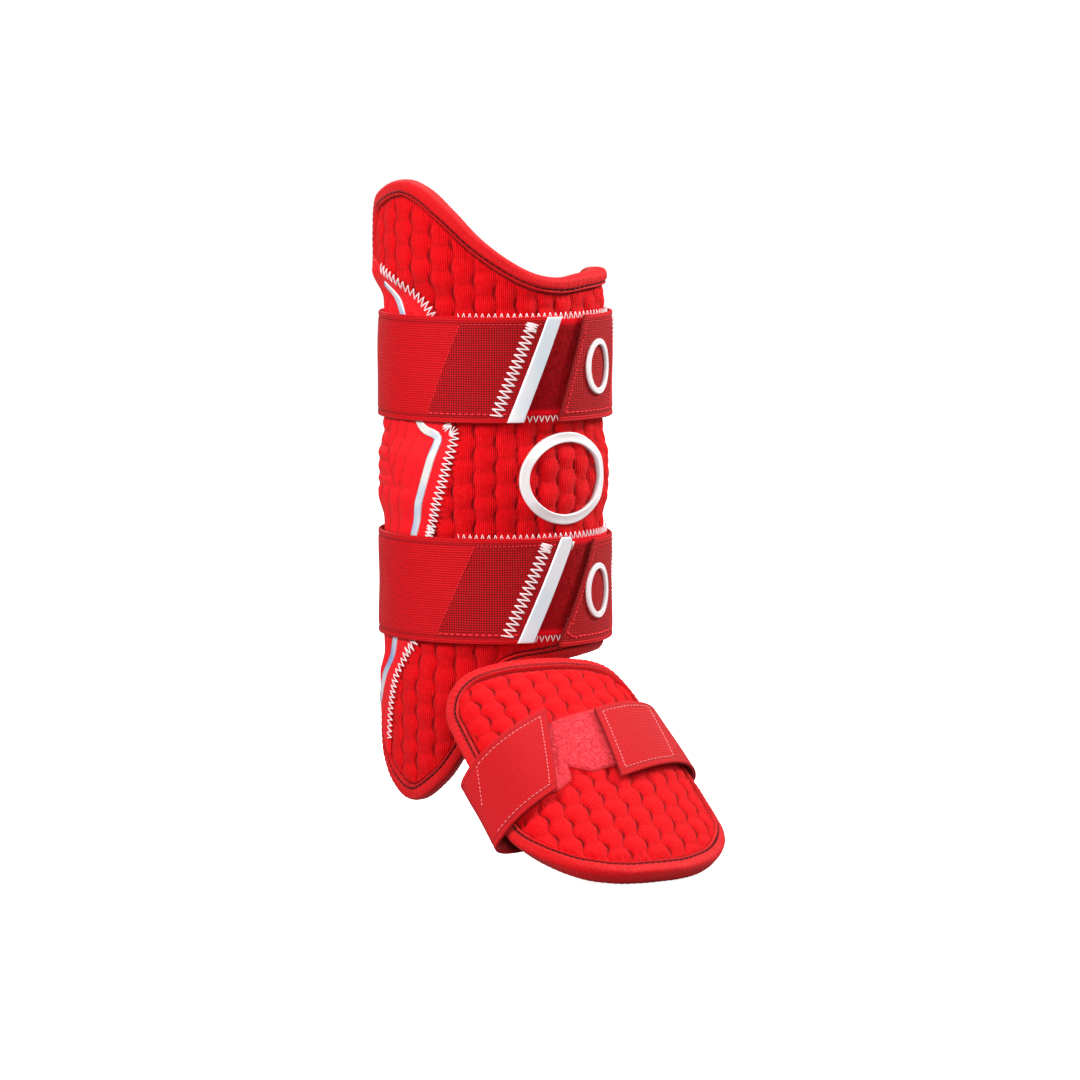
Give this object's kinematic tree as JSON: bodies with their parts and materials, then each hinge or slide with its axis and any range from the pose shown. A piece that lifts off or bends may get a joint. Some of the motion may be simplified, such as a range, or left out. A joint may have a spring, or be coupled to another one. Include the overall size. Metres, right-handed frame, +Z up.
{
  "type": "batter's leg guard",
  "caption": "Padded shin shell with a tall outer side and ankle flap, elastic calf straps that close on the front, and an arched foot guard on its own strap.",
  "frame": {"origin": "on the leg's axis, at the centre of the leg opening, halfway between the two calf straps", "axes": "+Z up the leg, -Y forward to the toes, -X to the outer side of the leg, where the tall side and the ankle flap are"},
  "size_m": [0.1706, 0.2546, 0.3589],
  "materials": {
    "quilt": "bright red quilted knit over foam",
    "binding": "ribbed red edge binding, slight sheen",
    "panel": "smooth red panel with raised chevrons",
    "silver": "smooth silver film",
    "loop": "fuzzy red loop pile",
    "hook": "dark red hook tape",
    "elastic": "dark red woven elastic",
    "rubber": "smooth white moulded rubber"
  },
  "bodies": {
    "root": {"shin_pad": "quilt", "shin_binding": "binding", "side_panel": "panel", "side_trim": "silver", "front_emblem": "rubber", "upper_loop_patch": "loop", "upper_hook_long": "hook", "upper_hook_short": "hook", "upper_strap": "elastic", "upper_end_label": "silver", "upper_tab_emblem": "rubber", "lower_loop_patch": "loop", "lower_hook_long": "hook", "lower_hook_short": "hook", "lower_strap": "elastic", "lower_end_label": "silver", "lower_tab_emblem": "rubber", "foot_pad": "quilt", "foot_binding": "binding", "foot_loop_patch": "loop", "foot_hook_left": "hook", "foot_hook_right": "hook", "foot_strap": "elastic", "foot_link": "elastic"}
  },
  "joints": []
}
